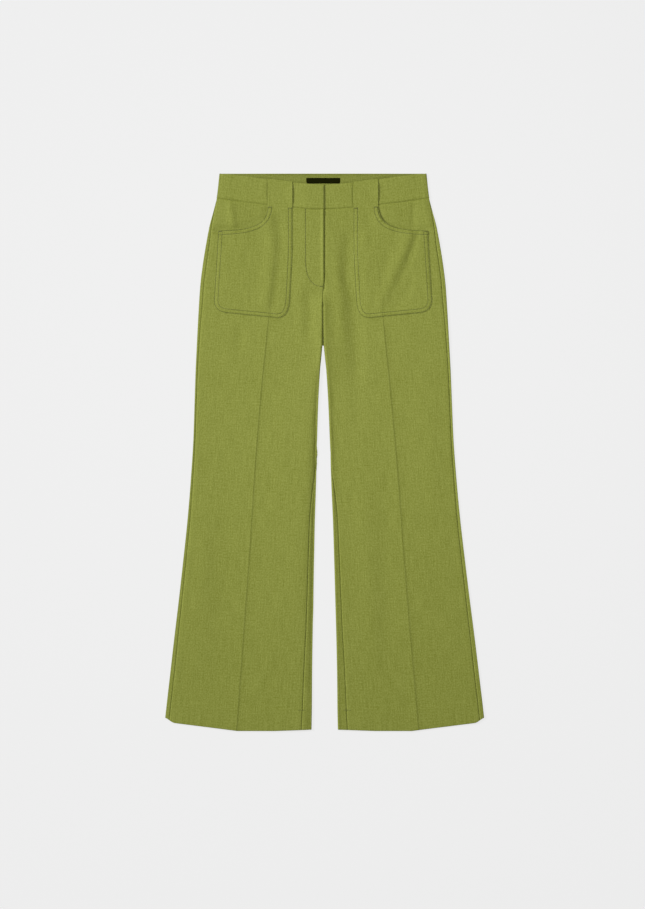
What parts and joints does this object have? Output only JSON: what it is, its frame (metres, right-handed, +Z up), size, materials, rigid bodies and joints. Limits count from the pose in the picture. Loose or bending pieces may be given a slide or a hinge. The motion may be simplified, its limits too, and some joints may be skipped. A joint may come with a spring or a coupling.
{
  "type": "flared trousers",
  "caption": "Flared gabardine trousers laid flat, front up: pressed creases, fly front, dipped waistband, and patch pockets that run on upwards as wide belt loops.",
  "frame": {"origin": "On the surface that the trousers lie on, at the centre of their outline in X and Y, in metres.", "axes": "The trousers lie flat with the front up. +Y points to the waist and -Y to the hems, +X to the wearer's left, and +Z up, out of the front."},
  "size_m": [0.6002, 1.05, 0.0097],
  "materials": {
    "gabardine": "matt twill weave",
    "zip_tape": "matt tape",
    "label": "plain woven black"
  },
  "bodies": {
    "root": {"front_right": "gabardine", "front_left": "gabardine", "back_right": "gabardine", "back_left": "gabardine", "waistband_front_right": "gabardine", "waistband_front_left": "gabardine", "waistband_back_right": "gabardine", "waistband_back_left": "gabardine", "pocket_right": "gabardine", "pocket_left": "gabardine", "fly_underlap": "gabardine", "fly_zip": "zip_tape", "label": "label"}
  },
  "joints": []
}
